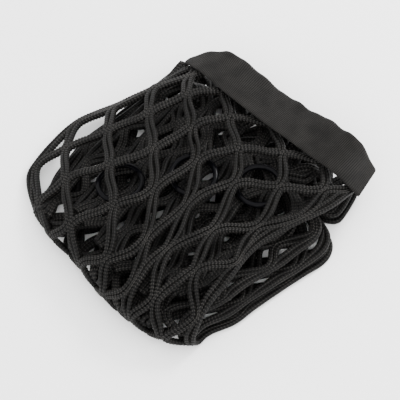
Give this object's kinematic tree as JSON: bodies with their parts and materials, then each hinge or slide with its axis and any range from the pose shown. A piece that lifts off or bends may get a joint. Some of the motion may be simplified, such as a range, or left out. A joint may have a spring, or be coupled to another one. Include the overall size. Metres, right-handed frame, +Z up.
{
  "type": "cargo net",
  "caption": "Black knotless cargo net of thick knitted cords with a wide ribbed elastic band along one edge, folded up into a flat pile.",
  "frame": {"origin": "middle of the folded bundle's box, on the surface that it rests on", "axes": "+Z up, +X along the elastic band, +Y from the net's free edge towards the band"},
  "size_m": [0.2016, 0.2, 0.0438],
  "materials": {
    "net": "matt black chain-knitted polyester cord",
    "elastic_band": "dark charcoal elastic with fine ribs across its width",
    "ring": "glossy black"
  },
  "bodies": {
    "root": {"net": "net", "elastic_band": "elastic_band", "ring_1": "ring", "ring_2": "ring", "ring_3": "ring"}
  },
  "joints": []
}
